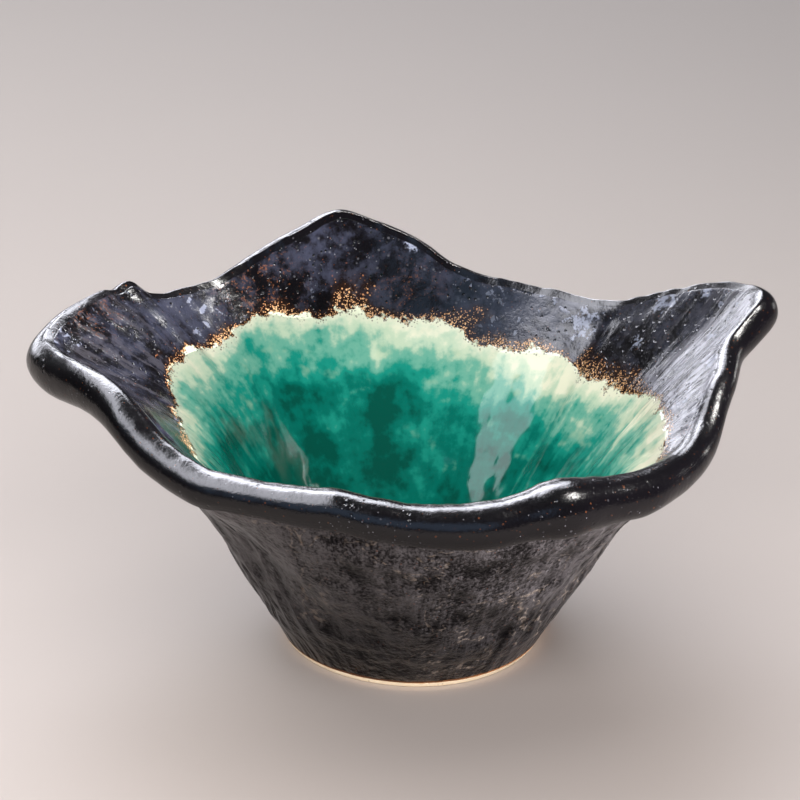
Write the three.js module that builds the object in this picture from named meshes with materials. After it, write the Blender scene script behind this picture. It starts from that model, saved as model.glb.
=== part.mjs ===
// A hand-formed stoneware side bowl. Its mouth is an uneven square with a thick
// rolled lip, drawn out into a long ear on the left and on the right and into a
// pointed peak at the back. The wall tapers to a plain round foot.
// The clay is one fired body. Luted under it is a foot ring, and fused over it
// are three coats of glaze, modelled as shells a hair's breadth off the clay.
// Millimetres, +Z up. A bearing is an angle in degrees round the foot's centre:
// 0 points to the right ear, 90 to the back.

import * as THREE from "three";

// Main sizes, taken to the middle of the lip's roll: ear to ear, front to back
// and up to the peak. The roll's radius is the one at its fullest, at the front.

const LENGTH = 152.5;
const DEPTH = 113.9;
const HEIGHT = 73.4;
const ROLL = 5.1;

// Wall and floor

const WALL = 6.6;
const RIM_WALL = 6.4;
const THIN_ROLL_SHARE = 0.92;
const FLOOR_HEIGHT = 11.5;
const FLOOR_REACH = 21;
const FLOOR_BEND = 14;
const SHOULDER_BEND = 9;
const WAIST_BEND = 12;

// Foot: the ring's height, its least width and the wiped edge that stays bare

const FOOT_RADIUS = 28;
const UNDERSIDE = 5.8;
const RING_WIDTH = 4.1;
const RECESS_INSET = 0.8;
const BARE_BAND = 1.5;
const FOOT_CHAMFER = 0.5;
const STRAIGHT_ANKLE = 2;

// Glaze and the gaps that keep the layers apart

const COAT = 0.7;
const POOL = 1.6;
const GAP = 0.3;

// Narrow ridge along the lip's inner upper edge: how proud of the roll it
// stands as a share, where it lies on the roll and how wide it is, in radians

const ARRIS_SHARE = 0.13;
const ARRIS_TURN = 0.95;
const ARRIS_SPREAD = 0.4;

// Dents left by the fingers on the outside, and folds of the wall inside

const DENT = 0.55;
const FOLD_DEPTH = 1.5;

// Limits: the share of a straight run that a bend may take up, the shares of the
// inner line between which the glaze line may lie, and how closely it is found

const LONGEST_BEND_SHARE = 0.49;
const HIGHEST_LINE_SHARE = 0.04;
const LOWEST_LINE_SHARE = 0.6;
const SHARE_STEP = 1e-6;
const FULL_TURN = 360;

// Mesh counts: columns round the mouth, rows along one section

const COLUMNS = 80;
const OUTER_ROWS = 8;
const LIP_ROWS = 8;
const BAND_ROWS = 3;
const WELL_ROWS = 8;
const POOL_ROWS = 5;

// Stations of the lip's roll, to its middle: bearing, reach, height, and the
// roll's radius as a share of the fullest. The main sizes stretch them to fit.

const LIP = [
  [10, 76.4, 68.9, 0.75],
  [18, 75, 68, 0.67],
  [29, 68.5, 63.2, 0.59],
  [43, 62.5, 56.7, 0.55],
  [56, 60, 56.1, 0.55],
  [70, 58.5, 57.6, 0.55],
  [80, 58.5, 59.8, 0.55],
  [86, 58.5, 64.2, 0.55],
  [94, 59, 68.5, 0.55],
  [100, 59.5, 71, 0.55],
  [106, 60, 73.4, 0.55],
  [115, 59, 70.6, 0.55],
  [125, 59.5, 66.6, 0.55],
  [131, 60.2, 63.9, 0.55],
  [137, 61, 62.1, 0.55],
  [148, 63.2, 62.3, 0.55],
  [152, 65, 62.9, 0.57],
  [156, 67.6, 66.9, 0.59],
  [159.5, 68.8, 66.1, 0.63],
  [163, 70, 67, 0.67],
  [172, 74.3, 66, 0.78],
  [179, 77.2, 63.7, 0.86],
  [186, 74, 63.2, 0.9],
  [194, 68, 63.2, 0.84],
  [203, 64, 61.5, 0.8],
  [213, 61.5, 56.1, 0.78],
  [224, 58.6, 53.2, 0.75],
  [240, 54.9, 53.2, 0.71],
  [256, 54, 53, 0.8],
  [272, 54.8, 51.4, 0.8],
  [287, 57, 51.4, 0.88],
  [300, 58.3, 53.1, 1],
  [318, 61.3, 51.8, 0.88],
  [331, 62.5, 51.8, 0.76],
  [342, 63.5, 54.2, 0.69],
  [352, 65.3, 60.5, 0.59],
  [362, 67.8, 64, 0.63],
];

// Inner shoulder, where the steep well turns out to the rim: bearing, reach, height

const SHOULDER = [
  [0, 48.5, 48],
  [22, 50, 47],
  [44, 48, 45.5],
  [75, 50, 47],
  [105, 51, 52],
  [130, 49, 50],
  [148, 46, 50],
  [178, 45, 51],
  [205, 44, 47],
  [235, 45, 44],
  [270, 46, 42.5],
  [305, 46.3, 42],
  [335, 45.8, 44],
];

// Outer edge of the foot: bearing, share of the foot's radius

const FOOT = [
  [0, 1],
  [60, 1],
  [120, 1],
  [180, 0.98],
  [240, 0.945],
  [300, 0.99],
];

// Line where the black glaze meets the green one inside: bearing, height

const GLAZE_LINE = [
  [3, 52.5],
  [20, 49],
  [37, 47.5],
  [52, 48],
  [66, 46.5],
  [80, 48],
  [96, 51.5],
  [107, 54.7],
  [118, 54.5],
  [130, 57.3],
  [141, 55.5],
  [148, 54.7],
  [155, 56.8],
  [168, 57],
  [178, 54.6],
  [190, 52.8],
  [214, 52.3],
  [240, 47.5],
  [270, 44.5],
  [300, 46.5],
  [330, 51.5],
  [347, 52.8],
];

// Folds of the inner wall: bearing, half width in degrees, share of the folds'
// depth by which the wall steps back, share of the inner line where it dies out

const FOLDS = [
  [157, 5, -1, 0.4],
  [149.5, 4.5, 0.8, 0.4],
  [43, 5, 1.2, 0.8],
];

// Smooth closed curve through stations round the foot, at one bearing.
// Gives one value for each column of the stations after the bearing.
function around(stations, bearing) {
  const count = stations.length;
  const station = (i) => stations[(i + count) % count];
  const place = (i) => station(i)[0] + FULL_TURN * Math.floor(i / count);
  const turned = place(0) + THREE.MathUtils.euclideanModulo(bearing - place(0), FULL_TURN);
  let k = count - 1;
  while (place(k) > turned) k -= 1;
  const span = place(k + 1) - place(k);
  const t = (turned - place(k)) / span;
  const start = (1 + 2 * t) * (1 - t) ** 2;
  const startSlope = t * (1 - t) ** 2 * span;
  const endSlope = t * t * (t - 1) * span;
  return station(k).slice(1).map((value, column) => {
    const y = (i) => station(i)[column + 1];
    const slope = (i) => (y(i + 1) - y(i - 1)) / (place(i + 1) - place(i - 1));
    return start * value + (1 - start) * y(k + 1) + startSlope * slope(k) + endSlope * slope(k + 1);
  });
}

// Path of straight runs whose inner corners are rounded: the curve leaves a
// corner's run at the bend's length before it and joins the next as far after.
function rounded(corners, bends) {
  const path = new THREE.Path();
  path.moveTo(corners[0].x, corners[0].y);
  bends.forEach((bend, i) => {
    const corner = corners[i + 1];
    const toward = (end) => {
      const run = corner.distanceTo(end);
      return corner.clone().lerp(end, Math.min(bend / run, LONGEST_BEND_SHARE));
    };
    const leave = toward(corners[i]);
    const join = toward(corners[i + 2]);
    path.lineTo(leave.x, leave.y);
    path.quadraticCurveTo(corner.x, corner.y, join.x, join.y);
  });
  const end = corners[corners.length - 1];
  path.lineTo(end.x, end.y);
  return path;
}

// Share of a path's length at which it passes a height, for a path that runs up or down.
function shareAtHeight(path, height) {
  const rising = path.getPoint(0).y < path.getPoint(1).y;
  let low = 0;
  let high = 1;
  while (high - low > SHARE_STEP) {
    const middle = (low + high) / 2;
    if (path.getPoint(middle).y < height === rising) low = middle;
    else high = middle;
  }
  return low;
}

// How far a dent moves the outer wall out, at a share of the way up it.
function dent(bearing, share) {
  const turn = THREE.MathUtils.degToRad(bearing);
  const broad = Math.cos(5 * turn + 2.4 * share + 0.4);
  const close = Math.cos(9 * turn - 3.2 * share + 1.1);
  return DENT * Math.sin(Math.PI * share) * (broad + 0.6 * close);
}

// How far the folds move the inner wall out, at a share of the inner line.
function fold(bearing, share) {
  const settle = THREE.MathUtils.smoothstep(share, 0, 0.12);
  return FOLDS.reduce((sum, [centre, width, back, end]) => {
    const round = THREE.MathUtils.euclideanModulo(bearing - centre, FULL_TURN);
    const away = Math.min(round, FULL_TURN - round);
    const fade = 1 - THREE.MathUtils.smoothstep(share, end / 2, end);
    return sum + FOLD_DEPTH * back * settle * fade * Math.exp(-((away / width) ** 2));
  }, 0);
}

// A point of the bowl at a bearing, a reach from the foot's axis and a height
function placed(bearing, reach, height) {
  const turn = THREE.MathUtils.degToRad(bearing);
  return new THREE.Vector3(reach * Math.cos(turn), reach * Math.sin(turn), height);
}

// How far the stations are stretched to give the bowl its main sizes

const lipLine = Array.from({ length: FULL_TURN }, (_, bearing) => placed(bearing, ...around(LIP, bearing)));
const untouched = new THREE.Box3().setFromPoints(lipLine);
const lengthwise = LENGTH / (untouched.max.x - untouched.min.x);
const crosswise = DEPTH / (untouched.max.y - untouched.min.y);
const upright = HEIGHT / untouched.max.z;

// Reach and height of a row of stations at a bearing, stretched to the main sizes
function stretched(stations, bearing) {
  const turn = THREE.MathUtils.degToRad(bearing);
  const outwards = Math.hypot(lengthwise * Math.cos(turn), crosswise * Math.sin(turn));
  const [reach, height] = around(stations, bearing);
  return new THREE.Vector2(reach * outwards, height * upright);
}

// One section of the visible surface: up the outer wall from the bare band, over
// the lip, down to the glaze line and on down the well to the middle of the floor.
// The outer wall's second point lies just above the foot ring.
function section(bearing) {
  const lip = stretched(LIP, bearing);
  const shoulder = stretched(SHOULDER, bearing);
  const foot = new THREE.Vector2(FOOT_RADIUS * around(FOOT, bearing)[0], 0);
  const roll = ROLL * around(LIP, bearing)[2];
  const glazeLine = upright * around(GLAZE_LINE, bearing)[0];

  // The rim's inner face leaves the shoulder and touches the roll from inside
  const rim = lip.clone().sub(shoulder);
  const slope = rim.angle() + Math.asin(roll / rim.length());
  const onRoll = (turn) => {
    const angle = slope + turn;
    const proud = 1 + ARRIS_SHARE * Math.exp(-(((turn - ARRIS_TURN) / ARRIS_SPREAD) ** 2));
    return new THREE.Vector2(Math.cos(angle), Math.sin(angle)).multiplyScalar(roll * proud).add(lip);
  };
  // The outer wall runs into the roll where the wall has its full thickness
  const thickness = Math.min(RIM_WALL, THIN_ROLL_SHARE * 2 * roll);
  const below = thickness - roll;
  const start = Math.atan2(-below, -Math.sqrt(roll ** 2 - below ** 2));
  const sweep = start > 0 ? start - 2 * Math.PI : start;
  const lipRow = (i) => onRoll(THREE.MathUtils.lerp(sweep, Math.PI / 2, i / LIP_ROWS));

  // The outer wall follows the shoulder at the wall's thickness
  const floorEdge = new THREE.Vector2(FLOOR_REACH, FLOOR_HEIGHT);
  const wellSlope = shoulder.clone().sub(floorEdge).angle();
  const lean = (wellSlope + slope) / 2;
  const waist = new THREE.Vector2(Math.sin(lean), -Math.cos(lean)).multiplyScalar(WALL).add(shoulder);
  const outside = rounded([foot, waist, lipRow(0)], [WAIST_BEND]);
  const outer = [outside.getPoint(shareAtHeight(outside, BARE_BAND))];
  const ankle = shareAtHeight(outside, UNDERSIDE + STRAIGHT_ANKLE);
  for (let i = 0; i < OUTER_ROWS; i += 1) {
    const share = i / (OUTER_ROWS - 1);
    const point = outside.getPoint(THREE.MathUtils.lerp(ankle, 1, share));
    point.x += dent(bearing, share);
    outer.push(point);
  }

  const middle = new THREE.Vector2(0, FLOOR_HEIGHT);
  const inside = rounded([onRoll(Math.PI / 2), shoulder, floorEdge, middle], [SHOULDER_BEND, FLOOR_BEND]);
  const lineShare = shareAtHeight(inside, glazeLine);
  const glazeShare = THREE.MathUtils.clamp(lineShare, HIGHEST_LINE_SHARE, LOWEST_LINE_SHARE);
  const shares = [];
  for (let i = 1; i <= BAND_ROWS; i += 1) shares.push(glazeShare * i / BAND_ROWS);
  for (let i = 1; i <= WELL_ROWS; i += 1) shares.push(THREE.MathUtils.lerp(glazeShare, 1, i / WELL_ROWS));
  const inner = shares.map((share) => {
    const point = inside.getPoint(share);
    point.x += fold(bearing, share);
    return point;
  });

  const overLip = Array.from({ length: LIP_ROWS }, (_, i) => lipRow(i + 1));
  return [...outer, ...overLip, ...inner];
}

// Bearings of the columns, evenly spaced along the lip
function spacedBearings(count) {
  const fine = 4 * FULL_TURN;
  const bearingAt = (i) => FULL_TURN * i / fine;
  const onLip = (i) => {
    const { x: reach, y: height } = stretched(LIP, bearingAt(i));
    return placed(bearingAt(i), reach, height);
  };
  const run = [0];
  for (let i = 1; i <= fine; i += 1) run.push(run[i - 1] + onLip(i).distanceTo(onLip(i - 1)));
  const bearings = [];
  let k = 0;
  for (let j = 0; j < count; j += 1) {
    const wanted = run[fine] * j / count;
    while (run[k + 1] < wanted) k += 1;
    bearings.push(bearingAt(k + (wanted - run[k]) / (run[k + 1] - run[k])));
  }
  return bearings;
}

// The visible surface as rows of points, one point of a row for each column

const bearings = spacedBearings(COLUMNS);
const sections = bearings.map(section);
const surface = sections[0].map((_, row) => sections.map((points, column) => {
  const { x: reach, y: height } = points[row];
  return placed(bearings[column], reach, height);
}));

const GLAZE_ROW = OUTER_ROWS + LIP_ROWS + BAND_ROWS;
const CENTRE_ROW = GLAZE_ROW + WELL_ROWS;

// Direction of a line that runs through a point from one neighbour to the other
function heading(before, point, after) {
  const arriving = point.clone().sub(before).normalize();
  return after.clone().sub(point).normalize().add(arriving);
}

// Outward direction at each point of the surface
const outward = surface.map((row, i) => row.map((point, j) => {
  if (i === CENTRE_ROW) return new THREE.Vector3(0, 0, 1);
  const onward = heading(surface[Math.max(i - 1, 0)][j], point, surface[i + 1][j]);
  const ahead = heading(row[(j + COLUMNS - 1) % COLUMNS], point, row[(j + 1) % COLUMNS]);
  return ahead.cross(onward).normalize();
}));

// Thickness of the glaze at a row: it pools on the floor
function glazeAt(row) {
  const pooled = THREE.MathUtils.smoothstep(row, CENTRE_ROW - POOL_ROWS, CENTRE_ROW);
  return THREE.MathUtils.lerp(COAT, POOL, pooled);
}

// A row of the surface sunk into the wall by a depth
function sunk(row, depth) {
  return surface[row].map((point, j) => point.clone().addScaledVector(outward[row][j], -depth));
}

// Rows from one to another, both ends included, each sunk by its own depth
function sunkRows(from, to, depthAt) {
  const step = Math.sign(to - from);
  const count = Math.abs(to - from) + 1;
  return Array.from({ length: count }, (_, i) => sunk(from + i * step, depthAt(from + i * step)));
}

// A ring moved along the lines to another ring, by a distance
function slid(ring, target, distance) {
  return ring.map((point, j) => {
    const run = point.distanceTo(target[j]);
    return point.clone().lerp(target[j], distance / run);
  });
}

// A ring where the lines through two rings reach a height, or pass it if carried on
function atHeight(lower, upper, height) {
  return lower.map((point, j) => {
    const share = (height - point.z) / (upper[j].z - point.z);
    return point.clone().lerp(upper[j], share);
  });
}

// A ring pulled in towards the foot's axis
function inset(ring, inward) {
  return ring.map(({ x, y, z }) => {
    const scale = 1 - inward / Math.hypot(x, y);
    return new THREE.Vector3(x * scale, y * scale, z);
  });
}

// A true circle about the foot's axis
function circle(radius, height) {
  return bearings.map((bearing) => placed(bearing, radius, height));
}

// A closed skin over a chain of rings: the front rings run out from the axis and
// down the outside, the back rings run the other way behind them. The back's
// squares are split along the same diagonals as the front's, so layers nest.
// With no poles, heights on the axis, the last ring joins the first.
function skin(name, material, front, back, poles) {
  const rings = [...front, ...back];
  const points = rings.flat();
  const faces = [];
  const bands = poles ? rings.length - 1 : rings.length;
  for (let i = 0; i < bands; i += 1) {
    for (let j = 0; j < COLUMNS; j += 1) {
      const next = (j + 1) % COLUMNS;
      const here = i * COLUMNS;
      const there = ((i + 1) % rings.length) * COLUMNS;
      if (i < front.length) {
        faces.push(here + j, there + j, there + next);
        faces.push(here + j, there + next, here + next);
      } else {
        faces.push(here + j, there + j, here + next);
        faces.push(there + j, there + next, here + next);
      }
    }
  }
  if (poles) {
    const last = (rings.length - 1) * COLUMNS;
    const top = points.push(new THREE.Vector3(0, 0, poles[0])) - 1;
    const bottom = points.push(new THREE.Vector3(0, 0, poles[1])) - 1;
    for (let j = 0; j < COLUMNS; j += 1) {
      const next = (j + 1) % COLUMNS;
      faces.push(top, j, next);
      faces.push(bottom, last + next, last + j);
    }
  }
  const geometry = new THREE.BufferGeometry().setFromPoints(points);
  geometry.setIndex(faces);
  geometry.computeVertexNormals();
  const mesh = new THREE.Mesh(geometry, material);
  mesh.name = name;
  return mesh;
}

function ceramic(colour, roughness) {
  return new THREE.MeshStandardMaterial({ color: colour, roughness, metalness: 0 });
}

const bareClay = ceramic(0xd9b48c, 0.85);
const blackGlaze = ceramic(0x1c1b22, 0.32);
const greenGlaze = ceramic(0x2f8f7a, 0.12);

// Clay of the wall and floor, one body from the foot to the lip

const narrowestFoot = FOOT_RADIUS * Math.min(...FOOT.map(([, share]) => share));
const recessRadius = narrowestFoot - RING_WIDTH;
const clayDepth = (row) => glazeAt(row) + GAP;
const clayLine = (height) => atHeight(sunk(0, clayDepth(0)), sunk(1, clayDepth(1)), height);
const stoneware = skin(
  "stoneware_body",
  bareClay,
  [...sunkRows(CENTRE_ROW - 1, 1, clayDepth), clayLine(UNDERSIDE)],
  [circle(recessRadius, UNDERSIDE)],
  [FLOOR_HEIGHT - clayDepth(CENTRE_ROW), UNDERSIDE],
);

// Foot ring: its wiped edge stands out flush with the glaze above it

const ringTop = UNDERSIDE - GAP;
const bandTop = BARE_BAND - GAP;
const wallFoot = (height) => atHeight(surface[0], surface[1], height);
const footRing = skin(
  "foot_ring",
  bareClay,
  [
    circle(recessRadius - RECESS_INSET, ringTop),
    clayLine(ringTop),
    clayLine(bandTop),
    wallFoot(bandTop),
    wallFoot(FOOT_CHAMFER),
    inset(wallFoot(0), FOOT_CHAMFER),
  ],
  [circle(recessRadius + FOOT_CHAMFER, 0), circle(recessRadius, FOOT_CHAMFER)],
);

// Black glaze: down inside to the glaze line, over the lip and down to the foot

const blackCoat = skin(
  "black_glaze_coat",
  blackGlaze,
  sunkRows(GLAZE_ROW, 0, () => 0),
  sunkRows(0, GLAZE_ROW, () => COAT),
);

// Green glaze: the whole well, thickest on the floor

const greenEdge = (depthAt) => slid(
  sunk(GLAZE_ROW, depthAt(GLAZE_ROW)),
  sunk(GLAZE_ROW + 1, depthAt(GLAZE_ROW + 1)),
  GAP,
);
const greenCoat = skin(
  "green_glaze_coat",
  greenGlaze,
  [...sunkRows(CENTRE_ROW - 1, GLAZE_ROW + 1, () => 0), greenEdge(() => 0)],
  [greenEdge(glazeAt), ...sunkRows(GLAZE_ROW + 1, CENTRE_ROW - 1, glazeAt)],
  [FLOOR_HEIGHT, FLOOR_HEIGHT - glazeAt(CENTRE_ROW)],
);

// Black glaze in the recess, down the ring's inner side to its wiped edge

const baseTop = ringTop;
const recessAt = (height) => recessRadius - RECESS_INSET * height / ringTop;
const baseGlaze = skin(
  "base_glaze",
  blackGlaze,
  [circle(recessAt(baseTop) - GAP, baseTop), circle(recessAt(BARE_BAND) - GAP, BARE_BAND)],
  [
    circle(recessAt(BARE_BAND) - GAP - COAT, BARE_BAND),
    circle(recessAt(baseTop) - GAP - 2 * COAT, baseTop - COAT),
  ],
  [baseTop, baseTop - COAT],
);

// The bowl stands over the middle of its own outline

const bowl = new THREE.Group();
bowl.add(stoneware, footRing, blackCoat, greenCoat, baseGlaze);
const middle = new THREE.Box3().setFromObject(bowl).getCenter(new THREE.Vector3());
bowl.position.set(-middle.x, -middle.y, 0);

export default bowl;
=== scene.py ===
# %% [markdown]
# # A hand-formed stoneware bowl
#
# The bowl is one body of clay with coats of glaze melted over it. Its mouth is
# an uneven square with a thick rolled lip, drawn out into an ear on each side
# and a peak at the back. We dress the solid model of it, which stays as it is:
# every piece here rides on the solid one and lies where it lies.

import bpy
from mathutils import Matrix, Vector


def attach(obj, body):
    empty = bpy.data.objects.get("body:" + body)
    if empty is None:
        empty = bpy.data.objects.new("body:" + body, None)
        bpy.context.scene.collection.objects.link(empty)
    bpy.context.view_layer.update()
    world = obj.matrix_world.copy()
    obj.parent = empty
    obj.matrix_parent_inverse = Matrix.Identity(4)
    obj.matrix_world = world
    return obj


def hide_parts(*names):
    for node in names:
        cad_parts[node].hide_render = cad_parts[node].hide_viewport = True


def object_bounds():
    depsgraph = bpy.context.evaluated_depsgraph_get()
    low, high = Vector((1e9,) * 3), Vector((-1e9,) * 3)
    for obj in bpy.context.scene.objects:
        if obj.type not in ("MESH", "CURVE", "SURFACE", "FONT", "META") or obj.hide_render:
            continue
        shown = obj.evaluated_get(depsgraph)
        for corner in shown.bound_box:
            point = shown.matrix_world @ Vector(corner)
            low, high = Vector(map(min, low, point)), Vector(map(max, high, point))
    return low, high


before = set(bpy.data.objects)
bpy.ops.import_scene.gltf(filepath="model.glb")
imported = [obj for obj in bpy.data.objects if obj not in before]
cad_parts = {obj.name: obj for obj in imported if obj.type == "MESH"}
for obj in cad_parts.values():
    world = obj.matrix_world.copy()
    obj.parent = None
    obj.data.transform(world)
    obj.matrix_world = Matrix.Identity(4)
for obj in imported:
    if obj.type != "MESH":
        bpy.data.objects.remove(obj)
cad_box = [[float(value) for value in corner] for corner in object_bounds()]

import math
from functools import reduce

import bpy
import numpy as np
from mathutils import Vector

print("solid pieces:", ", ".join(sorted(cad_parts)))
print("box in mm:", [[round(1000 * value, 1) for value in corner] for corner in cad_box])

# %% [markdown]
# ## The form
#
# A pinched bowl has no straight line to measure from, so we describe it the way
# a potter would feel it: walk round the foot's centre and note, at each
# bearing, how far out and how high the lip stands and how thick its roll is.
# Between these stations a smooth closed curve fills in the rest. The same is
# done for the inner shoulder, the foot's edge and the line where the two glazes
# meet. All numbers are millimetres and degrees; bearing 0 is the right ear.

# %% Sizes and the stations of the lip
# the clay's wall, its floor, the bends of the section, the foot, marks of the lip
WALL, RIM_WALL, THIN_ROLL_SHARE = 6.6, 6.4, 0.92
FLOOR_HEIGHT, FLOOR_REACH, FLOOR_BEND = 11.5, 21.0, 14.0
SHOULDER_BEND, WAIST_BEND = 9.0, 12.0
UNDERSIDE, RING_WIDTH, RECESS_INSET = 5.8, 4.1, 0.8
BARE_BAND, STRAIGHT_ANKLE, GAP = 1.5, 2.0, 0.3
ARRIS, ARRIS_SPREAD, LEDGE_RUN = 0.11, 0.45, 5.0
WAVER_OUT, WAVER_UP, WAVER_THICK, GLAZE_ON_LIP = 0.10, 0.12, 0.05, 0.12
CREST_THINNED, CREST_FLAT_FROM, CREST_FLAT_TO, CREST_FLATTEST = 0.16, 1.0, 2.2, 0.9

recess_corners = 1000 * np.array(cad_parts["base_glaze"].bound_box)
FOOT_CENTRE = (recess_corners.min(0) + recess_corners.max(0))[:2] / 2

# bearing, reach, height, radius of the lip's roll
LIP = [
    (10, 76.4, 68.9, 3.8), (18, 75, 68, 3.4), (29, 68.5, 63.2, 3), (43, 62.5, 56.7, 2.8),
    (56, 60, 56.1, 2.8), (70, 58.5, 57.6, 2.8), (80, 58.5, 59.8, 2.8), (86, 58.5, 64.2, 2.8),
    (94, 59, 68.5, 2.8), (100, 59.5, 71, 2.8), (106, 60, 73.4, 2.8), (115, 59, 70.6, 2.8),
    (125, 59.5, 66.6, 2.8), (131, 60.2, 63.9, 2.8), (137, 61, 62.1, 2.8), (148, 63.2, 62.3, 2.8),
    (152, 65, 62.9, 2.9), (156, 67.6, 66.9, 3), (159.5, 68.8, 66.1, 3.2), (163, 70, 67, 3.4),
    (172, 74.3, 66, 4), (179, 77.2, 63.7, 4.4), (186, 74, 63.2, 4.6), (194, 68, 63.2, 4.3),
    (203, 64, 61.5, 4.1), (213, 61.5, 56.1, 4), (224, 58.6, 53.2, 3.8), (240, 54.9, 53.2, 3.6),
    (256, 54, 53, 4.1), (272, 54.8, 51.4, 4.1), (287, 57, 51.4, 4.5), (300, 58.3, 53.1, 5.1),
    (318, 61.3, 51.8, 4.5), (331, 62.5, 51.8, 3.9), (342, 63.5, 54.2, 3.5), (352, 65.3, 60.5, 3),
    (362, 67.8, 64, 3.2),
]
print(len(LIP), "stations on the lip")

# %% Stations of the shoulder, the foot and the glaze line
# bearing, reach, height
SHOULDER = [
    (0, 48.5, 48), (22, 50, 47), (44, 48, 45.5), (75, 50, 47), (105, 51, 52), (130, 49, 50),
    (148, 46, 50), (178, 45, 51), (205, 44, 47), (235, 45, 44), (270, 46, 42.5),
    (305, 46.3, 42), (335, 45.8, 44),
]
# bearing, reach
FOOT = [(0, 28), (60, 28), (120, 28), (180, 27.5), (240, 26.5), (300, 27.7)]
# bearing, height
GLAZE_LINE = [
    (3, 52.5), (20, 49), (37, 47.5), (52, 48), (66, 46.5), (80, 48), (96, 51.5), (107, 54.7),
    (118, 54.5), (130, 57.3), (141, 55.5), (148, 54.7), (155, 56.8), (168, 57), (178, 54.6),
    (190, 52.8), (214, 52.3), (240, 47.5), (270, 44.5), (300, 46.5), (330, 51.5), (347, 52.8),
]
# bearing, how far the green has crept up past that line
CREEP = [
    (40, 0), (52, 0.8), (66, 1.5), (80, 2.5), (94, 2.5), (107, 0.9), (118, 0), (200, 0), (300, 0),
]
print(len(SHOULDER), "on the shoulder,", len(FOOT), "on the foot,", len(GLAZE_LINE), "on the line")

# %% [markdown]
# The closed curve is a cubic Hermite curve: at each station its slope is that
# of the line from the station before to the station after, so it passes every
# station without a corner.

# %% A smooth closed curve through stations
def around(stations, bearing):
    table = np.array(stations, float)
    place = np.concatenate([table[-2:, 0] - 360, table[:, 0], table[:2, 0] + 360])
    values = np.concatenate([table[-2:, 1:], table[:, 1:], table[:2, 1:]])
    slope = np.zeros_like(values)
    slope[1:-1] = (values[2:] - values[:-2]) / (place[2:] - place[:-2])[:, None]
    turned = table[0, 0] + (bearing - table[0, 0]) % 360
    k = np.searchsorted(place, turned, side="right") - 1
    span = place[k + 1] - place[k]
    t = (turned - place[k]) / span
    start = (1 + 2 * t) * (1 - t) ** 2
    return (start * values[k] + (1 - start) * values[k + 1]
            + t * (1 - t) ** 2 * span * slope[k] + t * t * (t - 1) * span * slope[k + 1])


def smoothstep(value, low, high):
    t = np.clip((np.asarray(value, float) - low) / (high - low), 0, 1)
    return t * t * (3 - 2 * t)


print("lip at the back peak:", around(LIP, 106).round(1))

# %% [markdown]
# ## One section
#
# At one bearing we cut the bowl with a half plane. The cut runs up the outer
# wall, round the roll of the lip, down the inner face to the shoulder and on
# down the well to the middle of the floor. Straight runs with rounded corners
# are enough, because the hand-made look comes from how the sections change.

# %% Straight runs with rounded corners
def rounded(corners, bends, steps=12):
    line = [corners[0]]
    for before, corner, after, bend in zip(corners, corners[1:], corners[2:], bends):
        cuts = [corner + (end - corner) * min(bend / np.linalg.norm(end - corner), 0.49)
                for end in (before, after)]
        for t in np.linspace(0, 1, steps + 1):
            line.append((1 - t) ** 2 * cuts[0] + 2 * t * (1 - t) * corner + t * t * cuts[1])
    line.append(corners[-1])
    return np.array(line)


def run_along(line):
    return np.concatenate([[0], np.cumsum(np.linalg.norm(np.diff(line, axis=0), axis=1))])


def points_at(line, shares):
    run = run_along(line)
    return np.stack([np.interp(np.asarray(shares) * run[-1], run, line[:, i]) for i in (0, 1)], -1)


def share_at_height(line, height):
    run = run_along(line)
    order = 1 if line[0, 1] < line[-1, 1] else -1
    return np.interp(height, line[::order, 1], run[::order]) / run[-1]


square_corner = np.array([(0.0, 0.0), (10.0, 0.0), (10.0, 10.0)])
print("a corner of 20 mm, rounded:", run_along(rounded(square_corner, [5.0]))[-1].round(2), "mm")

# %% [markdown]
# ## What the hands left
#
# The outer wall was paddled and pressed while it was soft, so it is made of
# shallow flats with fairly sharp rims, over dents that are softer and wider.
# The inner face was pushed together into a pleat beside the left ear and a
# crease at the right. The lip wavers a little all the way round, as an edge
# does that was pinched between fingers, and swells once, in front.

# %% Marks of the hands
# bearing, share of the way up, half width, half height, tilt, depth
PRESSED = [
    (8, 0.45, 11, 17, -12, 0.55), (36, 0.55, 9, 19, 15, 0.5), (64, 0.40, 12, 14, -20, 0.55),
    (88, 0.62, 11, 13, 30, 0.45), (112, 0.38, 9, 18, 8, 0.5), (138, 0.55, 11, 16, -18, 0.55),
    (163, 0.42, 9, 19, 14, 0.55), (186, 0.60, 10, 17, -10, 0.55), (205, 0.34, 8, 17, 16, 0.55),
    (229, 0.50, 12, 21, 24, 0.75), (252, 0.28, 10, 9, -30, 0.4), (258, 0.72, 12, 7, 8, 0.35),
    (276, 0.52, 9, 12, -35, 0.45), (296, 0.26, 11, 8, 28, 0.4), (304, 0.66, 9, 13, 40, 0.5),
    (326, 0.46, 8, 20, -24, 0.6), (345, 0.66, 9, 12, 12, 0.5),
]
# bearing, how far the inner face stands back
PLEAT = [
    (138, 0), (146, 0.6), (150, 1.0), (152, 0.2), (154.5, -1.5), (158, -1.6), (166, -0.7), (178, 0),
]
CREASE = [
    (-14, 0), (4, -0.6), (9, -0.3), (12, 0.7), (22, 0), (34, -1.3), (38, -1.0), (42, 0.9),
    (46, 0.9), (60, 0),
]
# bearing, how crisp the lip's arris is, how far round the roll it stands
ARRIS_LINE = [
    (0, 0.5, 0.80), (22, 2.2, 0.80), (40, 3.1, 0.80), (65, 3.2, 0.80), (100, 3.2, 0.80),
    (135, 3.1, 0.80), (158, 2.0, 0.80), (172, 1.0, 0.90), (185, 1.0, 1.00), (215, 1.1, 1.05),
    (250, 1.1, 1.05), (285, 0.9, 1.05), (310, 0.7, 1.05), (335, 0.5, 0.95),
]
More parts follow.
